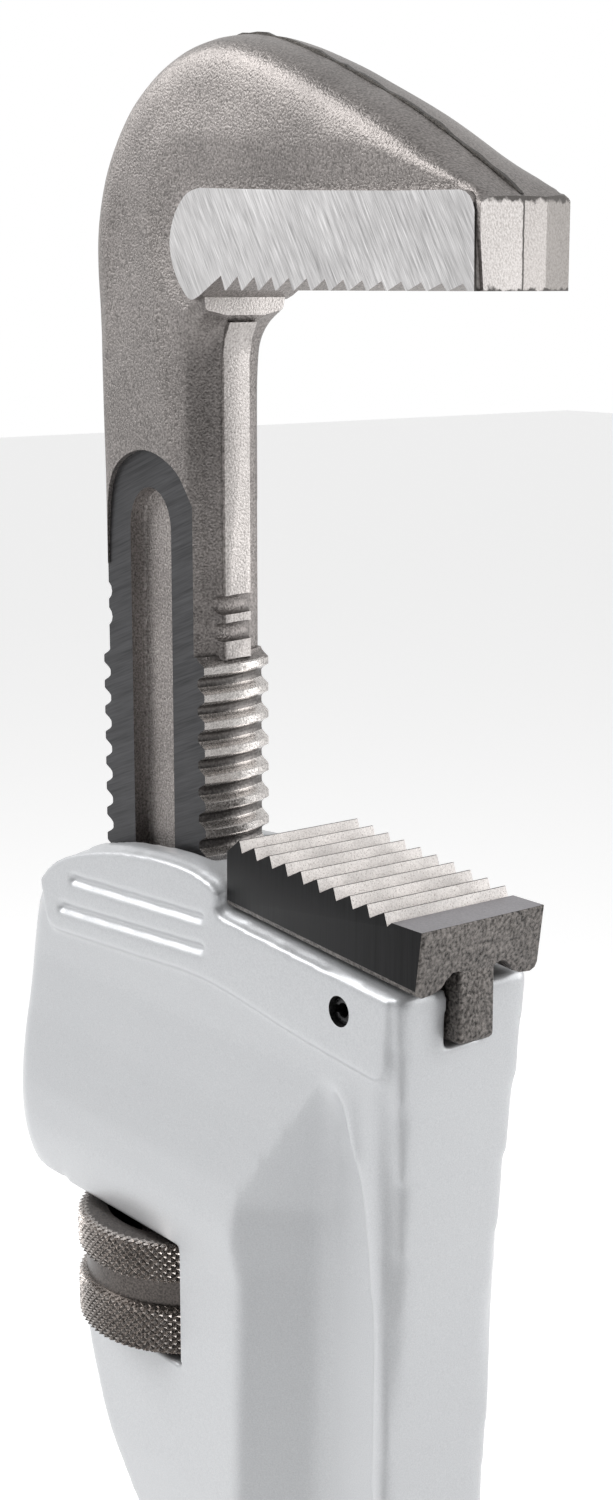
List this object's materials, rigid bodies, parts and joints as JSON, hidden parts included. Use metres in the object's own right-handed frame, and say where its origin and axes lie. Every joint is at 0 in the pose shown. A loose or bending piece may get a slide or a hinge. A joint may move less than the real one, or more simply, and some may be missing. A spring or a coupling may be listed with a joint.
{
  "type": "pipe wrench",
  "caption": "Adjustable pipe wrench with a toothed hook jaw on a threaded shank, a toothed heel jaw, a knurled nut and an I-section cast handle with a hang hole.",
  "frame": {"origin": "centre of the bounding box's base: the handle end, midway between the housing's rear and the hook jaw's tip, on the tool's middle plane", "axes": "+Z along the hook jaw's shank from handle end to hook, +X towards the jaw opening, +Y across the tool's thickness"},
  "size_m": [0.1332, 0.0436, 0.61],
  "materials": {
    "painted_casting": "silver-white enamel over a cast surface, semi-gloss with fine speckle",
    "forged_steel": "grainy forged skin with bright ground and milled faces",
    "blackened_steel": "black oxide, worn bright on teeth and knurl",
    "spring_steel": "oiled dark spring steel"
  },
  "bodies": {
    "handle": {"handle": "painted_casting", "heel_jaw": "blackened_steel", "heel_jaw_pin": "spring_steel", "coil_spring": "spring_steel"},
    "spring_strip": {"flat_spring": "spring_steel", "spring_rivet": "spring_steel"},
    "nut": {"adjusting_nut": "blackened_steel"},
    "hook_jaw": {"hook_jaw": "forged_steel"}
  },
  "joints": [
    {"name": "jaw_rock", "type": "hinge", "parent": "handle", "child": "spring_strip", "pos_m": [-0.022, 0, 0.38585], "axis": [0, 1, 0], "range_deg": [0, 2], "stiffness_Nm_per_rad": 60, "springref_deg": -2.01, "deforming": ["coil_spring"]},
    {"name": "jaw_slide", "type": "slide", "parent": "spring_strip", "child": "hook_jaw", "axis": [0, 0, 1], "range_m": [-0.089, 0.003]},
    {"name": "nut_spin", "type": "hinge", "parent": "spring_strip", "child": "nut", "pos_m": [-0.022, 0, 0.38585], "axis": [0, 0, 1], "range_deg": [-222, 6554]}
  ],
  "couplings": [
    {"joint": "nut_spin", "follows": "jaw_slide", "rad_per_m": -1284.9}
  ]
}
